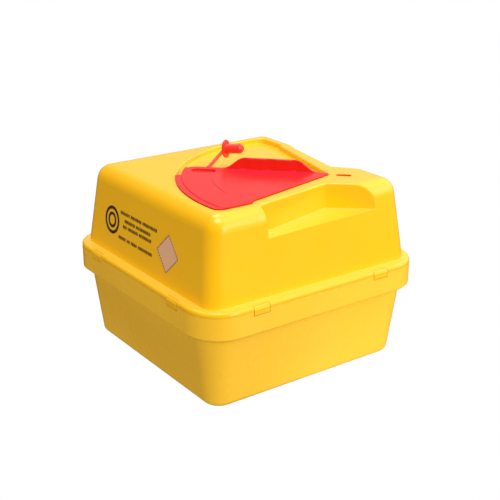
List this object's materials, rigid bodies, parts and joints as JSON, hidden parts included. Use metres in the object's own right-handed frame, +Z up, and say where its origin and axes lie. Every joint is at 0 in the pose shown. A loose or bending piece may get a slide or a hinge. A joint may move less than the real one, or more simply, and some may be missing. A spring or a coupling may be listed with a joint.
{
  "type": "sharps waste container",
  "caption": "Square yellow box for used sharps: drafted tub, push-on domed lid with grip notches, swinging fan shutter over the drop hole and a tethered lock plug.",
  "frame": {"origin": "centre of the underside, on the surface that the box stands on", "axes": "+Z up; -Y is the front with a grip notch, +X the right side with the other grip notch"},
  "size_m": [0.2416, 0.2416, 0.1926],
  "materials": {
    "tub_plastic": "satin moulded polypropylene",
    "lid_plastic": "glossy moulded polypropylene",
    "shutter_plastic": "glossy moulded polypropylene",
    "plug_plastic": "glossy moulded polypropylene"
  },
  "bodies": {
    "container": {"container_body": "tub_plastic"},
    "lid": {"lid": "lid_plastic"},
    "shutter": {"shutter": "shutter_plastic"},
    "plug": {"tether_strap": "plug_plastic", "lock_plug": "plug_plastic"}
  },
  "joints": [
    {"name": "lid_lift", "type": "slide", "parent": "container", "child": "lid", "axis": [0, 0, 1], "range_m": [0, 0.12]},
    {"name": "shutter_swing", "type": "hinge", "parent": "lid", "child": "shutter", "pos_m": [0.06428, -0.06428, 0.167], "axis": [0, 0, 1], "range_deg": [-46, 0]},
    {"name": "tether_flex", "type": "hinge", "parent": "shutter", "child": "plug", "pos_m": [-0.02216, 0.02329, 0.17215], "axis": [0.7071, -0.7071, 0], "range_deg": [-8, 95], "stiffness_Nm_per_rad": 0.02}
  ]
}
